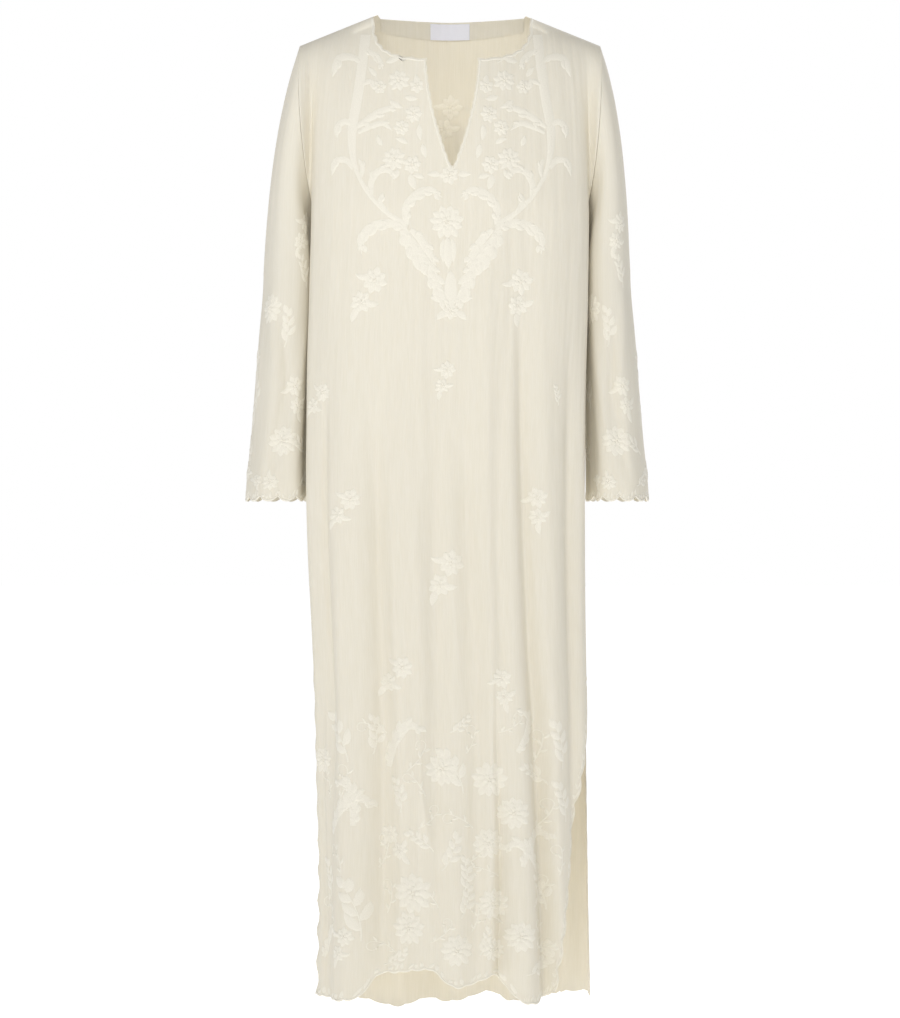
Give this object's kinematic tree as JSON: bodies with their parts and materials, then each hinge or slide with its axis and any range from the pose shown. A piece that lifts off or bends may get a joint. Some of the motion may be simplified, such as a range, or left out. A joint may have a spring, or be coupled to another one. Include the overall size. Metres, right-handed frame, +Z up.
{
  "type": "kaftan",
  "caption": "Long ivory cotton kaftan with a notched round neck, long flared sleeves, open lower sides, scalloped edges and flower embroidery",
  "frame": {"origin": "between the shoulders: in the middle of the neck opening, level with the inner ends of the shoulder seams and in their upright plane", "axes": "+Z up, the front faces -Y, +X is the right side of the front view, which is the wearer's left"},
  "size_m": [0.5458, 0.2568, 1.3511],
  "materials": {
    "cloth": "fine crinkled cotton voile, ivory, matt",
    "label": "woven satin tape, bluish white, plain"
  },
  "bodies": {
    "root": {"front_panel": "cloth", "back_panel": "cloth", "sleeve_left": "cloth", "sleeve_right": "cloth", "neck_facing": "cloth", "neck_label": "label"}
  },
  "joints": []
}
